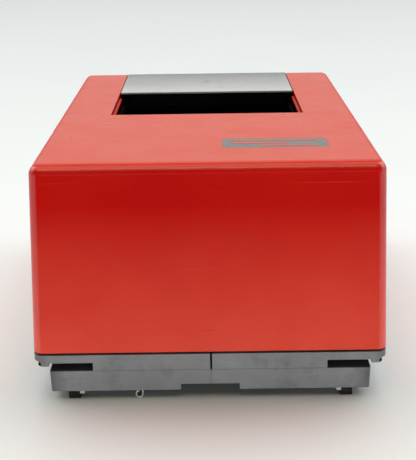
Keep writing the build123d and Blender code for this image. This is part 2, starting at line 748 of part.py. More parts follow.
def main():
    os.makedirs("parts", exist_ok=True)
    save(dust_cover(), "dust_cover")
    save(nameplate_blank(0.1), "nameplate")
    save(chassis_tray(), "chassis_tray")
    save(lower_block(), "lower_block")
    save(feet(), "feet")
    save(mount_hooks(), "mount_hooks")
    save(contact_row(-1), "contact_row_left")
    save(contact_row(1), "contact_row_right")
    save(cover_springs(), "cover_springs")
    save(retaining_screw(), "retaining_screw")
    save(screw_clip(), "screw_clip")
    save(motherboard(), "motherboard")
    save(board_screws(), "board_screws")
    save(display_cradle(), "display_cradle")
    save(cradle_posts(), "cradle_posts")
    save(cradle_screws(), "cradle_screws")
    save(display_jack(), "display_jack")
    save(programmer_cage(), "programmer_cage")
    save(amplifier_cage(), "amplifier_cage")
    save(programmer_connector(), "programmer_connector")
    save(amplifier_connector(), "amplifier_connector")
    for i, (x, y) in enumerate(RELAYS, 1):
        save(relay(x, y), "relay_%d" % i)
    save(transformer_core(), "transformer_core")
    save(transformer_bobbin(), "transformer_bobbin")
    save(transformer_winding(), "transformer_winding")
    save(transformer_bracket(), "transformer_bracket")
    save(transformer_screws(), "transformer_screws")
    save(electrolytic_capacitors(), "electrolytic_capacitors")
    save(film_capacitors(), "film_capacitors")
    save(dropping_resistors(), "dropping_resistors")
    save(heat_sink(), "heat_sink")
    save(voltage_regulator(), "voltage_regulator")
    save(fuse_clips(), "fuse_clips")
    save(fuse(), "fuse")
    save(programmer_lid(), "programmer_lid")
    save(programmer_housing(), "programmer_housing")
    save(programmer_board(), "programmer_board")
    save(processor_chip(), "processor_chip")
    save(dip_switch_body(), "dip_switch_body")
    for i, y in enumerate(dip_places(), 1):
        save(dip_slider(y), "dip_slider_%d" % i)
    save(toggle_body(), "toggle_body")
    save(run_check_lever(), "run_check_lever")
    save(reset_body(), "reset_body")
    save(reset_button(), "reset_button")
    save(status_leds(), "status_leds")
    save(test_jacks(), "test_jacks")
    save(amplifier_housing(), "amplifier_housing")
    save(amplifier_board(), "amplifier_board")
    save(amplifier_jack(), "amplifier_jack")


main()
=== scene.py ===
import json
import math

import bmesh
import bpy
from mathutils import Matrix, Vector


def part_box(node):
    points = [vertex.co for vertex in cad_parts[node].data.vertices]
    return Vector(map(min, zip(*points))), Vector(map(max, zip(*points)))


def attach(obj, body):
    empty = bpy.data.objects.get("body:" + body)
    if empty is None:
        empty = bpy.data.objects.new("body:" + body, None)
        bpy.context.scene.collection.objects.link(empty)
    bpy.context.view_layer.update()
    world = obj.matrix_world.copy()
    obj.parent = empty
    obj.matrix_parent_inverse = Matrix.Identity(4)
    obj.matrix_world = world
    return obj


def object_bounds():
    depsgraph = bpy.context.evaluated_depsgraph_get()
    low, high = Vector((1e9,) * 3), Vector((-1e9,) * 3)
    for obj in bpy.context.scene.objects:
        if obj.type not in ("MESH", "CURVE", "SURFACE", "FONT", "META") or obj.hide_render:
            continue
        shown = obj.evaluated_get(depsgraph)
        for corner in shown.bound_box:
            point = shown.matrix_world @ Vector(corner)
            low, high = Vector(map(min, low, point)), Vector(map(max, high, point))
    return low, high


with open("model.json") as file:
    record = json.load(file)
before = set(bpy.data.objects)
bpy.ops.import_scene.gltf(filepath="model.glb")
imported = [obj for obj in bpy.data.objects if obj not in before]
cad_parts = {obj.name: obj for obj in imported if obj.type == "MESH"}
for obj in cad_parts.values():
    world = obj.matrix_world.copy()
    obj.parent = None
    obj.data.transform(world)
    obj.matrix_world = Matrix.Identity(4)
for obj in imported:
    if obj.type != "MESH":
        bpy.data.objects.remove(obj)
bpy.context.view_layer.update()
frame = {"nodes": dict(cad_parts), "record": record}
NODES = frame["nodes"]
MM = 0.001
SLOT_Z = (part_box("lower_block")[1].z - 0.0001, 0.0223)     # the corner slots' lowest and highest level
SLOT_MOUTH_Y = 0.1500                                      # the slots' mouths, from the middle
COVER_GAP_Z = 0.0270                                       # the cover, while on, hides the chassis above this; the chassis is painted black above it as painted shade
BLOCK_END_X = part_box("lower_block")[1].x
RIM_END_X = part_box("chassis_tray")[1].x


# ---------------------------------------------------------------- camera
CAMERA_PLACE = Vector((0.0006, -0.6983, 0.2722))
CAMERA_PITCH = 17.543        # degrees below the horizon
CAMERA_YAW = -0.080
CAMERA_ROLL = -0.793
CAMERA_LENS = 84.0


def make_camera():
    data = bpy.data.cameras.new("camera")
    data.lens = CAMERA_LENS
    data.sensor_width = 36.0
    data.clip_start = 0.01
    camera = bpy.data.objects.new("camera", data)
    bpy.context.scene.collection.objects.link(camera)
    turn = Matrix.Rotation(math.radians(-CAMERA_YAW), 4, "Z")
    tilt = Matrix.Rotation(math.radians(90.0 - CAMERA_PITCH), 4, "X")
    roll = Matrix.Rotation(math.radians(CAMERA_ROLL), 4, "Z")
    camera.matrix_world = Matrix.Translation(CAMERA_PLACE) @ turn @ tilt @ roll
    bpy.context.scene.camera = camera


# ---------------------------------------------------------------- shader building
def math_node(tree, operation, a, b):
    """Adds a Math node to a tree; a and b are numbers or other nodes' outputs."""
    node = tree.nodes.new("ShaderNodeMath")
    node.operation = operation
    for socket, value in zip(node.inputs, (a, b)):
        if isinstance(value, (int, float)):
            socket.default_value = value
        else:
            tree.links.new(value, socket)
    return node.outputs["Value"]


class Shader:
    """A Principled material and short ways to wire procedural textures into it."""

    def __init__(self, name):
        self.material = bpy.data.materials.new(name)
        self.material.use_nodes = True
        self.tree = self.material.node_tree
        self.bsdf = next(n for n in self.tree.nodes if n.type == "BSDF_PRINCIPLED")
        self.coords = self.tree.nodes.new("ShaderNodeTexCoord").outputs["Object"]

    def set(self, **values):
        """Constants on the shader's own sockets."""
        for key, value in values.items():
            self.bsdf.inputs[key.replace("_", " ")].default_value = value

    def link(self, source, target):
        self.tree.links.new(source, target)

    def feed(self, socket, source):
        self.link(source, self.bsdf.inputs[socket])

    def mapped(self, scale=(1, 1, 1), turn=(0, 0, 0)):
        node = self.tree.nodes.new("ShaderNodeMapping")
        node.inputs["Scale"].default_value = scale
        node.inputs["Rotation"].default_value = [math.radians(a) for a in turn]
        self.link(self.coords, node.inputs["Vector"])
        return node.outputs["Vector"]

    def noise(self, scale, detail=3.0, rough=0.55, vector=None, distort=0.0):
        node = self.tree.nodes.new("ShaderNodeTexNoise")
        node.inputs["Scale"].default_value = scale
        node.inputs["Detail"].default_value = detail
        node.inputs["Roughness"].default_value = rough
        node.inputs["Distortion"].default_value = distort
        self.link(vector or self.coords, node.inputs["Vector"])
        return node.outputs["Fac"]

    def cells(self, scale, feature="F1", vector=None, output="Distance"):
        node = self.tree.nodes.new("ShaderNodeTexVoronoi")
        node.feature = feature
        node.inputs["Scale"].default_value = scale
        self.link(vector or self.coords, node.inputs["Vector"])
        return node.outputs[output]

    def wave(self, scale, direction, distort=0.0, detail=0.0, profile="SIN", vector=None):
        node = self.tree.nodes.new("ShaderNodeTexWave")
        node.bands_direction = direction
        node.wave_profile = profile
        node.inputs["Scale"].default_value = scale
        node.inputs["Distortion"].default_value = distort
        node.inputs["Detail"].default_value = detail
        self.link(vector or self.coords, node.inputs["Vector"])
        return node.outputs["Fac"]

    def level(self, source, low, high, out_low=0.0, out_high=1.0):
        """source from low..high to out_low..out_high, clamped."""
        node = self.tree.nodes.new("ShaderNodeMapRange")
        node.inputs["From Min"].default_value = low
        node.inputs["From Max"].default_value = high
        node.inputs["To Min"].default_value = out_low
        node.inputs["To Max"].default_value = out_high
        self.link(source, node.inputs["Value"])
        return node.outputs["Result"]

    def math(self, operation, a, b):
        return math_node(self.tree, operation, a, b)

    def mix(self, factor, a, b):
        """Colour a where factor is 0 and b where it is 1."""
        node = self.tree.nodes.new("ShaderNodeMix")
        node.data_type = "RGBA"
        for name, value in (("Factor_Float", factor), ("A_Color", a), ("B_Color", b)):
            socket = next(s for s in node.inputs if s.identifier == name)
            if isinstance(value, tuple):
                socket.default_value = (*value, 1.0)
            else:
                self.link(value, socket)
        return next(s for s in node.outputs if s.identifier == "Result_Color")

    def split(self, vector):
        """A vector's three parts, as outputs X, Y and Z."""
        node = self.tree.nodes.new("ShaderNodeSeparateXYZ")
        self.link(vector, node.inputs["Vector"])
        return node.outputs

    def position(self, axis):
        """How far along one of the object's own axes a point lies."""
        return self.split(self.coords)[axis]

    def normal(self):
        """The way the surface faces, as outputs X, Y and Z."""
        return self.split(self.tree.nodes.new("ShaderNodeNewGeometry").outputs["Normal"])

    def facing_up(self, low=0.5, high=0.98):
        """1 on faces that look up, 0 on walls and undersides."""
        return self.level(self.normal()["Z"], low, high)

    def rounded_edge(self):
        """1 on rounded edges and corners, 0 on the flats between them and on what looks mostly up."""
        normal = self.normal()
        across, along, upright = [self.math("ABSOLUTE", normal[axis], 0.0) for axis in "XYZ"]
        most = self.math("MAXIMUM", self.math("MAXIMUM", across, along), upright)
        not_flat = self.level(most, 0.985, 0.92)
        tilted = self.level(normal["Z"], 0.30, 0.48)
        sideways = self.level(across, 0.15, 0.35, 0.0, 0.6)
        round_part = self.math("MULTIPLY", not_flat, self.math("MAXIMUM", tilted, sideways))
        return self.math("MULTIPLY", round_part, self.level(normal["Z"], 0.84, 0.74))

    def streaks(self, turn, along, across, low, high):
        """Fine scratches: noise drawn out along one direction and cut to its peaks."""
        vector = self.mapped(scale=(along, across, across), turn=turn)
        return self.level(self.noise(1.0, detail=1.5, vector=vector), low, high)

    def bump(self, *layers):
        """Bump from (height source, depth in metres) layers, one on another."""
        normal = None
        for source, depth in layers:
            node = self.tree.nodes.new("ShaderNodeBump")
            node.inputs["Strength"].default_value = 1.0
            node.inputs["Distance"].default_value = depth
            self.link(source, node.inputs["Height"])
            if normal:
                self.link(normal, node.inputs["Normal"])
            normal = node.outputs["Normal"]
        self.feed("Normal", normal)


# ---------------------------------------------------------------- materials
def moulded(name, colour, light, rough=(0.35, 0.5), grain=1400, depth=0.00002, scratch=0.5,
            dust=0.15, dust_colour=(0.35, 0.33, 0.30), mottle=18, ior=1.5, gloss=0.5):
    """Moulded plastic: two close tones, moulding grain, fine scratches and settled dust."""
    s = Shader(name)
    s.set(IOR=ior, Specular_IOR_Level=gloss)
    tone = s.level(s.noise(mottle, detail=4), 0.35, 0.65)
    base = s.mix(tone, colour, light)
    scuffs = s.math("MAXIMUM", s.streaks((8, 12, 28), 18, 900, 0.67, 0.74),
                    s.streaks((20, -35, -52), 26, 1300, 0.69, 0.76))
    patches = s.level(s.noise(24, detail=5), 0.5, 0.66)
    scuffs = s.math("MULTIPLY", scuffs, s.math("MULTIPLY", patches, scratch))
    base = s.mix(scuffs, base, dust_colour)
    dusty = s.math("MULTIPLY", s.level(s.noise(220, detail=6, rough=0.7), 0.42, 0.78), dust)
    base = s.mix(s.math("MULTIPLY", dusty, s.facing_up()), base, dust_colour)
    s.feed("Base Color", base)
    shine = s.level(s.noise(60, detail=5), 0.3, 0.7, rough[0], rough[1])
    s.feed("Roughness", s.math("ADD", shine, s.math("MULTIPLY", scuffs, 0.25)))
    s.bump((s.noise(grain, detail=2), depth), (scuffs, -0.00003))
    return s.material


def cover_plastic():
    """The red hood: satin, fine spark-eroded grain, hairline scratches, pale rub marks and a few specks.
    Its top is painted pale as a painted sheen and its shoulders a brighter red as painted light from above,
    its walls are painted paler towards their lower edge as a painted reflection of the floor, and its rounded
    edges have a second, glossier layer."""
    s = Shader("cover_red")
    s.set(IOR=1.2, Coat_Roughness=0.25, Coat_IOR=1.85)
    deep = (0.46, 0.0012, 0.0002)
    warm = (0.49, 0.0035, 0.0005)
    base = s.mix(s.level(s.noise(9, detail=4), 0.35, 0.65), deep, warm)
    uneven = s.level(s.noise(26, detail=4), 0.3, 0.7, 0.75, 1.0)
    # painted reflection of the floor: the walls are painted paler towards their lower edge
    painted_floor_reflection = s.math("MULTIPLY", s.level(s.position("Z"), 0.112, 0.030), uneven)
    base = s.mix(painted_floor_reflection, base, (0.79, 0.082, 0.052))
    # painted light: shoulders that face partly up are painted a brighter red
    base = s.mix(s.facing_up(0.35, 0.75), base, (0.62, 0.024, 0.010))
    # faces that look up; the pale pink mixed onto them below is a painted sheen
    up = s.facing_up(0.88, 0.99)
    base = s.mix(s.math("MULTIPLY", up, uneven), base, (0.605, 0.071, 0.034))
    hair = s.math("MAXIMUM", s.streaks((4, 62, 8), 10, 1500, 0.70, 0.75),
                  s.streaks((12, -28, -40), 14, 1700, 0.71, 0.76))
    hair = s.math("MULTIPLY", hair, s.level(s.noise(15, detail=4), 0.46, 0.62))
    rubs = s.math("MULTIPLY", s.level(s.noise(38, detail=6, rough=0.72, distort=1.2), 0.60, 0.78), 0.16)
    base = s.mix(s.math("MULTIPLY", hair, 0.22), base, (0.62, 0.12, 0.09))
    base = s.mix(rubs, base, (0.56, 0.075, 0.055))
    nicks = s.math("MULTIPLY", s.streaks((5, 3, -14), 45, 1000, 0.70, 0.735),
                   s.level(s.noise(21, detail=3), 0.56, 0.62))
    base = s.mix(s.math("MULTIPLY", nicks, 0.3), base, (0.17, 0.018, 0.012))
    specks = s.level(s.cells(150), 0.045, 0.02)
    specks = s.math("MULTIPLY", specks, s.level(s.noise(30), 0.56, 0.6))
    base = s.mix(s.math("MULTIPLY", specks, 0.5), base, (0.12, 0.01, 0.006))
    s.feed("Base Color", base)
    shine = s.level(s.noise(42, detail=6, rough=0.65), 0.3, 0.7, 0.26, 0.36)
    shine = s.math("ADD", shine, s.math("MULTIPLY", rubs, 0.5))
    s.feed("Roughness", shine)
    s.feed("Specular IOR Level", s.level(up, 0.0, 1.0, 0.18, 0.5))
    s.feed("Coat Weight", s.rounded_edge())
    orange_peel = s.noise(260, detail=1.5)
    s.bump((s.noise(1500, detail=2), 0.000012), (orange_peel, 0.00003), (hair, -0.00002))
    return s.material


def lid_plastic():
    """The light grey lid: satin with a fine grain, faint swirl marks and dark patches of grime. Its top is
    painted pale towards its front edge and dark towards its back as a painted reflection."""
    s = Shader("lid_grey")
    s.set(IOR=1.5)
    low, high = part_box("programmer_lid")
    # painted reflection: the top runs from dark at its back to pale at its front
    painted_reflection_ramp = s.level(s.math("ADD", s.position("Y"), s.level(s.noise(14, detail=3), 0.3, 0.7, -0.006, 0.006)),
                   high.y - 0.004, low.y + 0.006)
    up = s.facing_up()
    base = s.mix(painted_reflection_ramp, (0.045, 0.047, 0.046), (0.42, 0.43, 0.425))
    base = s.mix(up, (0.21, 0.215, 0.213), base)
    swirls = s.math("MULTIPLY", s.streaks((0, 0, 15), 60, 2200, 0.62, 0.74), s.level(up, 0.0, 1.0, 0.25, 1.0))
    base = s.mix(s.math("MULTIPLY", swirls, 0.25), base, (0.36, 0.36, 0.355))
    grime = s.math("MULTIPLY", s.level(s.noise(140, detail=6, rough=0.7), 0.55, 0.8), 0.4)
    base = s.mix(grime, base, (0.08, 0.08, 0.078))
    s.feed("Base Color", base)
    s.feed("Roughness", s.level(s.noise(90, detail=5), 0.3, 0.7, 0.14, 0.22))
    s.bump((s.noise(1700, detail=2), 0.000008), (swirls, -0.000006))
    return s.material


def chassis_plastic():
    """Satin grey moulding, scuffed pale along its faces, with painted shade darkening it towards the ends of
    the rim and the block. It is painted black as painted shade inside the corner slots and above COVER_GAP_Z,
    where it reflects nothing."""
    s = Shader("chassis_grey")
    s.set(IOR=1.5)
    base = s.mix(s.level(s.noise(30, detail=5), 0.35, 0.65), (0.184, 0.192, 0.204), (0.236, 0.246, 0.258))
    scuffs = s.math("MAXIMUM", s.streaks((0, 0, 6), 22, 1500, 0.64, 0.72),
                    s.streaks((0, 20, 80), 30, 1300, 0.66, 0.74))
    scuffs = s.math("MULTIPLY", scuffs, s.level(s.noise(30, detail=5), 0.42, 0.6, 0.0, 0.55))
    base = s.mix(scuffs, base, (0.34, 0.34, 0.34))
    dull = s.level(s.noise(85, detail=6, rough=0.7), 0.52, 0.72, 0.0, 0.5)
    base = s.mix(dull, base, (0.085, 0.085, 0.09))
    # painted shade: black, without reflection, inside the corner slots and above COVER_GAP_Z
    behind = s.level(s.math("ABSOLUTE", s.position("Y"), 0.0), SLOT_MOUTH_Y, SLOT_MOUTH_Y - 0.0003)
    slots = s.math("MULTIPLY", s.level(s.position("Z"), SLOT_Z[0], SLOT_Z[0] + 0.0002),
                   s.level(s.position("Z"), SLOT_Z[1], SLOT_Z[1] - 0.0002))
    under_cover = s.level(s.position("Z"), COVER_GAP_Z, COVER_GAP_Z + 0.0002)
    painted_recess_shade = s.math("MULTIPLY", s.math("MAXIMUM", slots, under_cover), behind)
    across = s.math("ABSOLUTE", s.position("X"), 0.0)
    # painted shade: the rim and the block darkened towards their rounded ends
    block_end = s.math("MULTIPLY", s.level(across, BLOCK_END_X - 0.009, BLOCK_END_X),
                       s.level(s.position("Z"), SLOT_Z[0] + 0.0002, SLOT_Z[0]))
    rim_end = s.math("MULTIPLY", s.level(across, RIM_END_X - 0.008, RIM_END_X),
                     s.level(s.position("Z"), SLOT_Z[0], SLOT_Z[0] + 0.0002))
    ends = s.math("MULTIPLY", s.math("MAXIMUM", block_end, rim_end), 0.75)
    base = s.mix(ends, base, (0.055, 0.056, 0.060))
    base = s.mix(painted_recess_shade, base, (0.002, 0.002, 0.002))
    s.feed("Base Color", base)
    # the painted shade reflects nothing
    s.feed("Specular IOR Level", s.level(painted_recess_shade, 0.0, 1.0, 0.5, 0.0))
    s.feed("Roughness", s.level(s.noise(60, detail=5), 0.3, 0.7, 0.3, 0.45))
    s.bump((s.noise(1500, detail=2), 0.000014), (scuffs, -0.00002))
    return s.material


def print_ink():
    """Dark pad-printed ink, worn in small flecks that let the red through."""
    s = Shader("print_dark")
    painted_reflection_ramp = s.level(s.noise(900, detail=6, rough=0.7), 0.60, 0.72)
    s.feed("Base Color", s.mix(s.math("MULTIPLY", painted_reflection_ramp, 0.5), (0.13, 0.115, 0.105), (0.36, 0.06, 0.045)))
    s.feed("Roughness", s.level(s.noise(300), 0.3, 0.7, 0.34, 0.5))
    s.bump((s.noise(2200, detail=2), 0.00001),)
    return s.material


def metal(name, colour, dull, rough=(0.25, 0.45), brush=(200, 6000, 6000), grime=(0.12, 0.10, 0.08)):
    """Plated or bare metal: drawing marks, blotches and a little grime."""
    s = Shader(name)
    s.set(Metallic=1.0)
    blotch = s.level(s.noise(260, detail=6, rough=0.68), 0.38, 0.66)
    base = s.mix(blotch, colour, dull)
    dirt = s.level(s.noise(700, detail=6, rough=0.75), 0.62, 0.78)
    base = s.mix(s.math("MULTIPLY", dirt, 0.7), base, grime)
    s.feed("Base Color", base)
    lines = s.noise(1.0, detail=3, vector=s.mapped(scale=brush))
    shine = s.level(lines, 0.3, 0.7, rough[0], rough[1])
    s.feed("Roughness", s.math("ADD", shine, s.math("MULTIPLY", dirt, 0.3)))
    s.bump((lines, 0.000008), (blotch, 0.000006))
    return s.material


def circuit_board(name):
    """Green solder mask over copper tracks, with pads and flux marks."""
    s = Shader(name)
    s.set(IOR=1.55, Coat_Weight=0.35, Coat_Roughness=0.2)
    bars = s.level(s.cells(190, vector=s.mapped(scale=(0.35, 1.6, 1.6))), 0.30, 0.27)
    cross = s.level(s.cells(170, vector=s.mapped(scale=(1.7, 0.32, 0.32))), 0.28, 0.25)
    tracks = s.math("MAXIMUM", bars, cross)
    pads = s.level(s.cells(260), 0.20, 0.17)
    pads = s.math("MULTIPLY", pads, s.level(s.noise(70), 0.52, 0.54))
    base = s.mix(s.level(s.noise(30, detail=4), 0.3, 0.7), (0.012, 0.075, 0.030), (0.016, 0.095, 0.038))
    base = s.mix(tracks, base, (0.030, 0.170, 0.065))
    base = s.mix(pads, base, (0.50, 0.48, 0.43))
    flux = s.math("MULTIPLY", s.level(s.noise(120, detail=5), 0.62, 0.8), 0.4)
    base = s.mix(flux, base, (0.20, 0.13, 0.04))
    s.feed("Base Color", base)
    s.feed("Metallic", s.math("MULTIPLY", pads, 0.9))
    s.feed("Roughness", s.level(s.noise(200, detail=4), 0.3, 0.7, 0.28, 0.48))
    s.bump((tracks, 0.00004), (pads, 0.0001), (s.noise(2400), 0.00001))
    return s.material


def laminations():
    """Stacked steel sheets with blotches of rust."""
    s = Shader("core_steel")
    s.set(Metallic=0.75)
    sheets = s.wave(630, "Y", distort=0.6, detail=1.0)
    base = s.mix(s.level(sheets, 0.2, 0.8), (0.07, 0.065, 0.062), (0.24, 0.235, 0.23))
    rust = s.level(s.noise(160, detail=7, rough=0.75), 0.56, 0.74)
    base = s.mix(s.math("MULTIPLY", rust, 0.6), base, (0.16, 0.065, 0.028))
    s.feed("Base Color", base)
    s.feed("Roughness", s.level(s.noise(300, detail=5), 0.3, 0.7, 0.36, 0.6))
    s.bump((sheets, 0.00012), (s.noise(900, detail=4), 0.00003))
    return s.material


def winding_tape():
    """Yellowed polyester tape over a copper winding."""
    s = Shader("winding_copper")
    s.set(IOR=1.6, Coat_Weight=0.5, Coat_Roughness=0.25)
    turns = s.wave(520, "Z", distort=1.2, detail=2.0)
    base = s.mix(s.level(turns, 0.2, 0.8), (0.36, 0.13, 0.03), (0.62, 0.30, 0.08))
    base = s.mix(s.math("MULTIPLY", s.level(s.noise(90, detail=5), 0.5, 0.75), 0.5), base, (0.20, 0.09, 0.03))
    s.feed("Base Color", base)
    s.feed("Roughness", s.level(s.noise(200, detail=4), 0.3, 0.7, 0.3, 0.5))
    s.bump((turns, 0.0001), (s.noise(700, detail=4), 0.00003))
    return s.material


def ceramic_body():
    """White cement resistor body, chalky and pitted."""
    s = Shader("resistor_white")
    base = s.mix(s.level(s.noise(180, detail=6), 0.3, 0.7), (0.56, 0.54, 0.48), (0.70, 0.68, 0.62))
    pits = s.level(s.cells(1100), 0.16, 0.06)
    base = s.mix(s.math("MULTIPLY", pits, 0.6), base, (0.30, 0.28, 0.24))
    s.feed("Base Color", base)
    s.feed("Roughness", s.level(s.noise(260), 0.3, 0.7, 0.7, 0.9))
    s.bump((pits, -0.0001), (s.noise(1500, detail=4), 0.00004))
    return s.material


def fuse_tube():
    """A glass tube, made opaque, pale and glossy, with a nickel cap at each end."""
    s = Shader("fuse_glass")
    low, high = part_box("fuse")
    middle = (low.y + high.y) / 2
    reach = (high.y - low.y) / 2
    away = s.math("ABSOLUTE", s.math("SUBTRACT", s.position("Y"), middle), 0.0)
    cap_start = reach - 6.5 * MM
    cap = s.level(away, cap_start - 0.1 * MM, cap_start + 0.1 * MM)
    base = s.mix(s.level(s.noise(500, detail=5), 0.3, 0.7), (0.72, 0.76, 0.76), (0.82, 0.85, 0.85))
    s.feed("Base Color", s.mix(cap, base, (0.62, 0.60, 0.56)))
    s.feed("Metallic", cap)
    s.feed("Roughness", s.level(s.noise(800, detail=4), 0.3, 0.7, 0.1, 0.24))
    s.bump((cap, 0.0003), (s.noise(900), 0.00001))
    return s.material


def sleeve():
    """Capacitor sleeve: dark blue film with a pale polarity band and a bare metal top."""
    s = Shader("capacitor_sleeve")
    s.set(Coat_Weight=0.4, Coat_Roughness=0.15)
    band = s.level(s.wave(13.0, "X", profile="SAW"), 0.80, 0.83)
    base = s.mix(s.level(s.noise(120, detail=4), 0.3, 0.7), (0.010, 0.016, 0.060), (0.018, 0.028, 0.085))
    base = s.mix(s.math("MULTIPLY", band, 0.8), base, (0.45, 0.46, 0.50))
    base = s.mix(s.facing_up(), base, (0.58, 0.58, 0.57))
    s.feed("Base Color", base)
    s.feed("Metallic", s.math("MULTIPLY", s.facing_up(), 0.9))
    s.feed("Roughness", s.level(s.noise(300, detail=5), 0.3, 0.7, 0.25, 0.42))
    s.bump((s.noise(600, detail=3), 0.00003),)
    return s.material


def build_materials():
    """One material per slot of the record."""
    black = (0.0045, 0.0045, 0.0048)
    return {
        "cover_red": cover_plastic(),
        "print_dark": print_ink(),
        "lid_grey": lid_plastic(),
        "chassis_grey": chassis_plastic(),
        "foot_black": moulded("foot_black", (0.004, 0.004, 0.0045), (0.007, 0.007, 0.008),
                              rough=(0.6, 0.75), ior=1.3),
        # black plastic, darkened further and with its reflection damped as painted shade inside the display
        # window
        "cradle_black": moulded("cradle_black", (0.0012, 0.0012, 0.0012), (0.0018, 0.0018, 0.0018),
                                rough=(0.85, 0.98), scratch=0.03, dust=0.01, ior=1.16, gloss=0.1),
        "cage_black": moulded("cage_black", (0.0022, 0.0022, 0.0023), (0.0032, 0.0032, 0.0033),
                              rough=(0.5, 0.65), scratch=0.1, dust=0.04),
        # black plastic, darkened further and with its reflection damped as painted shade under the lid's edge
        "module_black": moulded("module_black", (0.0016, 0.0016, 0.0017), (0.0030, 0.0030, 0.0032),
                                rough=(0.8, 0.92), depth=0.00004, scratch=0.1, dust=0.04, ior=1.2, gloss=0.3),
        "connector_plastic": moulded("connector_plastic", (0.012, 0.012, 0.014), (0.02, 0.02, 0.022)),
        "relay_case": moulded("relay_case", (0.010, 0.020, 0.050), (0.014, 0.028, 0.066),
                              rough=(0.2, 0.34)),
        "film_yellow": moulded("film_yellow", (0.46, 0.22, 0.012), (0.55, 0.28, 0.02), rough=(0.2, 0.35)),
        "epoxy_black": moulded("epoxy_black", black, (0.010, 0.010, 0.010),
                               rough=(0.4, 0.6), depth=0.00005),
        "dip_blue": moulded("dip_blue", (0.008, 0.030, 0.21), (0.012, 0.045, 0.26), rough=(0.25, 0.4)),
        "switch_white": moulded("switch_white", (0.62, 0.62, 0.58), (0.72, 0.72, 0.69), rough=(0.3, 0.4)),
        "button_red": moulded("button_red", (0.42, 0.010, 0.008), (0.50, 0.018, 0.012), rough=(0.2, 0.32)),
        "led_red": moulded("led_red", (0.34, 0.012, 0.010), (0.45, 0.02, 0.015),
                           rough=(0.1, 0.2), scratch=0.1),
        "jack_plastic": moulded("jack_plastic", (0.40, 0.015, 0.010), (0.48, 0.022, 0.014),
                                rough=(0.25, 0.4)),
        "board_green": circuit_board("board_green"),
        "contact_metal": metal("contact_metal", (0.78, 0.75, 0.68), (0.60, 0.56, 0.48), rough=(0.18, 0.32)),
        "steel_zinc": metal("steel_zinc", (0.62, 0.62, 0.60), (0.44, 0.45, 0.45)),
        "sink_aluminium": metal("sink_aluminium", (0.62, 0.62, 0.63), (0.50, 0.50, 0.51),
                                brush=(6000, 6000, 150)),
        "core_steel": laminations(),
        "winding_copper": winding_tape(),
        "resistor_white": ceramic_body(),
        "fuse_glass": fuse_tube(),
        "capacitor_sleeve": sleeve(),
    }


def dress_cad_nodes(materials):
    """Gives each CAD node the material of its slot in the record."""
    for part in frame["record"]["subparts"]:
        mesh = NODES[part["node"]].data
        mesh.materials.clear()
        mesh.materials.append(materials[part["material_slot"]])


# ---------------------------------------------------------------- pieces that only the looks need
def add_piece(name, bm, body, slot, materials, bevel=0.0, smooth=False):
    """Makes an object of a finished bmesh, bevels it, and lets it ride on its body."""
    mesh = bpy.data.meshes.new(name)
    bmesh.ops.recalc_face_normals(bm, faces=bm.faces[:])
    bm.to_mesh(mesh)
    bm.free()
    piece = bpy.data.objects.new(name, mesh)
    bpy.context.scene.collection.objects.link(piece)
    mesh.materials.append(materials[slot])
    for polygon in mesh.polygons:
        polygon.use_smooth = smooth
    if bevel:
        modifier = piece.modifiers.new("edges", "BEVEL")
        modifier.width = bevel
        modifier.segments = 2
        modifier.limit_method = "ANGLE"
        modifier.harden_normals = True
    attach(piece, body)
    return piece


def add_prism(bm, outline, z0, z1):
    """A closed prism over a plan outline of (x, y) points."""
    low = [bm.verts.new((x, y, z0)) for x, y in outline]
    high = [bm.verts.new((x, y, z1)) for x, y in outline]
    bm.faces.new(low[::-1])
    bm.faces.new(high)
    for i, a in enumerate(low):
        j = (i + 1) % len(low)
        bm.faces.new((a, low[j], high[j], high[i]))


def rounded_outline(x, y, width, depth, radius, steps=6):
    """Plan of a rounded rectangle about (x, y)."""
    points = []
    for corner, (sx, sy) in enumerate(((1, 1), (-1, 1), (-1, -1), (1, -1))):
        cx = x + sx * (width / 2 - radius)
        cy = y + sy * (depth / 2 - radius)
        for step in range(steps + 1):
            angle = math.radians(90 * (corner + step / steps))
            points.append((cx + radius * math.cos(angle), cy + radius * math.sin(angle)))
    return points


def add_turned(bm, centre, profile, axis="Z", steps=24):
    """A solid of revolution: profile is a list of (radius, height), closed at both ends."""
    rings = []
    for radius, height in profile:
        ring = []
        for step in range(steps):
            angle = 2 * math.pi * step / steps
            u, v = radius * math.cos(angle), radius * math.sin(angle)
            offset = {"Z": (u, v, height), "X": (height, u, v), "Y": (v, height, u)}[axis]
            ring.append(bm.verts.new(Vector(centre) + Vector(offset)))
        rings.append(ring)
    for lower, upper in zip(rings, rings[1:]):
        for i in range(steps):
            j = (i + 1) % steps
            bm.faces.new((lower[i], lower[j], upper[j], upper[i]))
    bm.faces.new(rings[0][::-1])
    bm.faces.new(rings[-1])


def nameplate_bars(materials):
    """Three plain raised bars in the cover's colour on the printed plate."""
    low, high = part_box("nameplate")
    middle = (low + high) / 2
    length = high.x - low.x
    spacing = (high.y - low.y) * 0.27
    for index, (start, share) in enumerate(((0.10, 0.80), (0.10, 0.52), (0.36, 0.54))):
        bm = bmesh.new()
        y = middle.y + (1 - index) * spacing
        x = low.x + length * (start + share / 2)
        outline = rounded_outline(x, y, length * share, 2.6 * MM, 1.2 * MM)
        add_prism(bm, outline, high.z - 0.1 * MM, high.z + 0.08 * MM)
        add_piece("nameplate_bar_%d" % (index + 1), bm, "dust_cover", "cover_red", materials)


def lid_gate_mark(materials):
    """The scar that the moulding gate left at the middle of the lid: a low ring and its stub."""
    low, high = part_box("programmer_lid")
    centre = ((low.x + high.x) / 2, (low.y + high.y) / 2, high.z)
    bm = bmesh.new()
    add_turned(bm, centre, [(2.6 * MM, -0.05 * MM), (2.6 * MM, 0.10 * MM), (2.1 * MM, 0.14 * MM),
                            (1.9 * MM, 0.02 * MM), (0.8 * MM, 0.02 * MM), (0.7 * MM, 0.16 * MM)], steps=36)
    add_piece("lid_gate_mark", bm, "programmer_module", "lid_grey", materials, smooth=True)


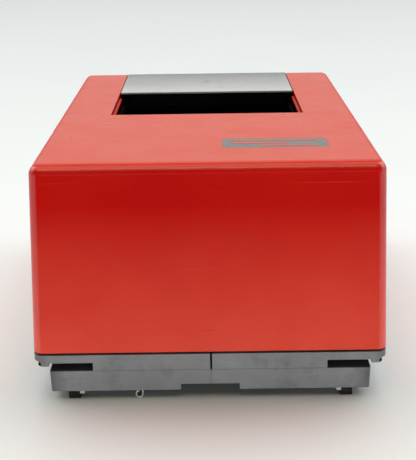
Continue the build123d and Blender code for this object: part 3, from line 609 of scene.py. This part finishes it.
def jack_wires(materials):
    """Eight sprung contact wires that lean across the display socket's mouth."""
    low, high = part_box("display_jack")
    middle = (low.x + high.x) / 2
    pitch = 1.02 * MM
    wire = 0.2 * MM
    back = high.y - 5.4 * MM
    front = high.y - 8.0 * MM
    foot = low.z + 3.0 * MM
    tip = high.z - 1.5 * MM
    corners = [(back, foot), (back, tip), (front, foot + 4 * MM)]
    bm = bmesh.new()
    for index in range(8):
        x = middle + (index - 3.5) * pitch
        left = [bm.verts.new((x - wire, y, z)) for y, z in corners]
        right = [bm.verts.new((x + wire, y, z)) for y, z in corners]
        bm.faces.new(left)
        bm.faces.new(right[::-1])
        for i in range(3):
            j = (i + 1) % 3
            bm.faces.new((left[i], left[j], right[j], right[i]))
    add_piece("display_jack_wires", bm, "chassis", "contact_metal", materials)


def cradle_ribs(materials):
    """Upright guide ribs on the side walls of the display pocket."""
    low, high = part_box("display_cradle")
    wall = 2.0 * MM
    for side in (-1, 1):
        bm = bmesh.new()
        face = (high.x if side > 0 else -low.x) - wall
        for share in (0.22, 0.5, 0.78):
            y = low.y + (high.y - low.y) * share
            outline = rounded_outline(side * (face - 0.45 * MM), y, 1.3 * MM, 1.6 * MM, 0.5 * MM, steps=3)
            add_prism(bm, outline, low.z + 3 * MM, high.z - 5 * MM)
        name = "cradle_ribs_%s" % ("left" if side < 0 else "right")
        add_piece(name, bm, "chassis", "cradle_black", materials)


# places on the main board, in millimetres
SIDE_ROWS = (68, 84, 100, 116, 132)
CHIPS = ((-66, -128), (-38, -128), (-10, -128), (-30, 22), (0, 22), (30, 22), (-30, 44), (0, 44), (30, 44))
RESISTORS = [(x, y) for x in (-6, 1) for y in (-112, -96, -80)] + [(x, 5) for x in range(-40, 45, 8)]
RESISTORS += [(x, y) for x in (-74, -68) for y in SIDE_ROWS] + [(74, y) for y in SIDE_ROWS[2:]]

CHIP_LENGTH = 19.6 * MM
CHIP_WIDTH = 6.4 * MM
NOTCH_RADIUS = 0.9 * MM
LEG_PITCH = 2.54 * MM
LEG_OFFSET = 3.65 * MM       # the legs' distance from the chip's middle line
LEAD_RADIUS = 0.3 * MM


def board_chips(materials):
    """Dual in-line packages on the main board, with a polarity notch and eight legs a side."""
    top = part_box("motherboard")[1].z
    bodies = bmesh.new()
    legs = bmesh.new()
    for x, y in [(u * MM, v * MM) for u, v in CHIPS]:
        outline = rounded_outline(x, y, CHIP_LENGTH, CHIP_WIDTH, 0.4 * MM, steps=2)
        end = x - CHIP_LENGTH / 2
        notch = []
        for angle in range(0, 181, 30):
            turn = math.radians(angle)
            notch.append((end + NOTCH_RADIUS * math.sin(turn), y + NOTCH_RADIUS * math.cos(turn)))
        corner = next(i for i, point in enumerate(outline) if point[0] < x and point[1] < y)
        add_prism(bodies, outline[:corner] + notch + outline[corner:], top + 0.6 * MM, top + 3.8 * MM)
        for index in range(8):
            for side in (-1, 1):
                leg = rounded_outline(x + (index - 3.5) * LEG_PITCH, y + side * LEG_OFFSET,
                                      0.6 * MM, 0.5 * MM, 0.1 * MM, steps=1)
                add_prism(legs, leg, top, top + 2.1 * MM)
    add_piece("board_chips", bodies, "chassis", "epoxy_black", materials, bevel=0.15 * MM)
    add_piece("board_chip_legs", legs, "chassis", "contact_metal", materials)


def board_resistors(materials):
    """Small waisted resistors lying on the main board, with bent leads."""
    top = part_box("motherboard")[1].z
    height = top + 1.4 * MM
    waist = [(0.5, -3.3), (1.15, -3.1), (1.15, -2.2), (0.9, -1.7)]
    waist += [(radius, -along) for radius, along in reversed(waist)]
    profile = [(radius * MM, along * MM) for radius, along in waist]
    bodies = bmesh.new()
    leads = bmesh.new()
    for x, y in [(u * MM, v * MM) for u, v in RESISTORS]:
        add_turned(bodies, (x, y, height), profile, axis="Y", steps=14)
        add_turned(leads, (x, y, height), [(LEAD_RADIUS, -5 * MM), (LEAD_RADIUS, 5 * MM)], axis="Y", steps=8)
        for side in (-1, 1):
            foot = (x, y + side * 4.8 * MM, top)
            add_turned(leads, foot, [(LEAD_RADIUS, 0.0), (LEAD_RADIUS, 1.5 * MM)], steps=8)
    add_piece("board_resistors", bodies, "chassis", "film_yellow", materials, smooth=True)
    add_piece("board_resistor_leads", leads, "chassis", "contact_metal", materials, smooth=True)


# ---------------------------------------------------------------- floor, room and lamps
FLOOR_REACH = 40.0           # from the floor's middle to each side
FLOOR_MIDDLE_Y = 2.0


def make_floor():
    """A plain pale floor, painted greyer some way behind the object as painted fall-off of the light."""
    bm = bmesh.new()
    bmesh.ops.create_grid(bm, x_segments=1, y_segments=1, size=FLOOR_REACH)
    mesh = bpy.data.meshes.new("floor")
    bm.to_mesh(mesh)
    bm.free()
    floor = bpy.data.objects.new("floor", mesh)
    bpy.context.scene.collection.objects.link(floor)
    floor.location = (0, FLOOR_MIDDLE_Y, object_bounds()[0][2])
    s = Shader("floor_pale")
    base = s.mix(s.level(s.noise(3, detail=3), 0.3, 0.7), (0.745, 0.77, 0.765), (0.77, 0.795, 0.79))
    # painted shade: the floor is painted greyer behind the object, standing for the fall-off of the light
    s.feed("Base Color", s.mix(s.level(s.position("Y"), -1.7, 0.8), base, (0.53, 0.54, 0.535)))
    s.set(Roughness=0.6)
    mesh.materials.append(s.material)


def area_light(name, place, target, size, power, tint=(1, 1, 1)):
    data = bpy.data.lights.new(name, "AREA")
    data.shape = "RECTANGLE"
    data.size, data.size_y = size
    data.energy = power
    data.color = tint
    lamp = bpy.data.objects.new(name, data)
    lamp.visible_camera = False
    bpy.context.scene.collection.objects.link(lamp)
    aim = (Vector(target) - Vector(place)).to_track_quat("-Z", "Y")
    lamp.matrix_world = Matrix.Translation(place) @ aim.to_matrix().to_4x4()


ROOM_LEAST = 0.015                   # light that comes from every side
ROOM = (-0.50, 0.22, 1.02)           # each: where its edge starts and ends, and its strength
BACKDROP_FOOT = (0.13, 0.19, 0.5)    # the room fades to this share of its light at low elevations
SOFT_BOX = (0.86, 0.985, 1.8)
FRONT_STRIP = (0.93, 0.995, 8.6)
FRONT_LAMP_POWER = 1.8
LEFT_POWER = 0.6
RIGHT_POWER = 2.0


def make_world():
    """A studio as seen from the object: a pale room behind it, dark towards the front but for a strip of
    light just below the horizon, and a wide soft box above and a little behind."""
    world = bpy.data.worlds.new("studio")
    world.use_nodes = True
    bpy.context.scene.world = world
    tree = world.node_tree
    background = next(n for n in tree.nodes if n.type == "BACKGROUND")
    direction = tree.nodes.new("ShaderNodeTexCoord").outputs["Generated"]

    def patch(axis, low, high, strength, least=0.0, narrow=1.0):
        """Light that rises from least to strength as a direction turns towards axis; narrow below 1
        draws the patch out along X."""
        squeeze = tree.nodes.new("ShaderNodeVectorMath")
        squeeze.operation = "MULTIPLY"
        squeeze.inputs[1].default_value = (narrow, 1, 1)
        unit = tree.nodes.new("ShaderNodeVectorMath")
        unit.operation = "NORMALIZE"
        dot = tree.nodes.new("ShaderNodeVectorMath")
        dot.operation = "DOT_PRODUCT"
        dot.inputs[1].default_value = Vector(axis).normalized()
        tree.links.new(direction, squeeze.inputs[0])
        tree.links.new(squeeze.outputs["Vector"], unit.inputs[0])
        tree.links.new(unit.outputs["Vector"], dot.inputs[0])
        rise = tree.nodes.new("ShaderNodeMapRange")
        rise.interpolation_type = "SMOOTHSTEP"
        rise.inputs["From Min"].default_value = low
        rise.inputs["From Max"].default_value = high
        rise.inputs["To Min"].default_value = least
        rise.inputs["To Max"].default_value = strength
        tree.links.new(dot.outputs["Value"], rise.inputs["Value"])
        return rise.outputs["Result"]

    foot_low, foot_high, foot_level = BACKDROP_FOOT
    foot = patch((0, 0, 1), foot_low, foot_high, 1.0, foot_level)
    total = math_node(tree, "MULTIPLY", patch((0, 1, 0), *ROOM), foot)
    total = math_node(tree, "ADD", total, ROOM_LEAST)
    total = math_node(tree, "ADD", total, patch((0, 0.5, 1), *SOFT_BOX, narrow=0.3))
    total = math_node(tree, "ADD", total, patch((0, -1, -0.10), *FRONT_STRIP, narrow=0.4))
    tree.links.new(total, background.inputs["Strength"])
    background.inputs["Color"].default_value = (0.985, 1.0, 0.99, 1.0)


def make_lights():
    """A long lamp over the camera that draws a bright line on the front edge, and a box at each side."""
    make_world()
    area_light("front_lamp", (-0.15, -0.72, 1.13), (-0.05, -0.15, 0.12), (1.0, 0.34), FRONT_LAMP_POWER,
               tint=(1.0, 0.78, 0.45))
    area_light("side_left", (-1.3, -0.1, 0.5), (0, 0, 0.06), (0.9, 0.8), LEFT_POWER)
    area_light("side_right", (1.3, -0.1, 0.5), (0, 0, 0.06), (0.9, 0.8), RIGHT_POWER)


def use_plain_colours():
    """Colours as measured, with no film curve."""
    view = bpy.context.scene.view_settings
    view.view_transform = "Standard"
    view.look = "None"


make_camera()
make_floor()
make_lights()
use_plain_colours()
MATERIALS = build_materials()
dress_cad_nodes(MATERIALS)
nameplate_bars(MATERIALS)
lid_gate_mark(MATERIALS)
jack_wires(MATERIALS)
cradle_ribs(MATERIALS)
board_chips(MATERIALS)
board_resistors(MATERIALS)
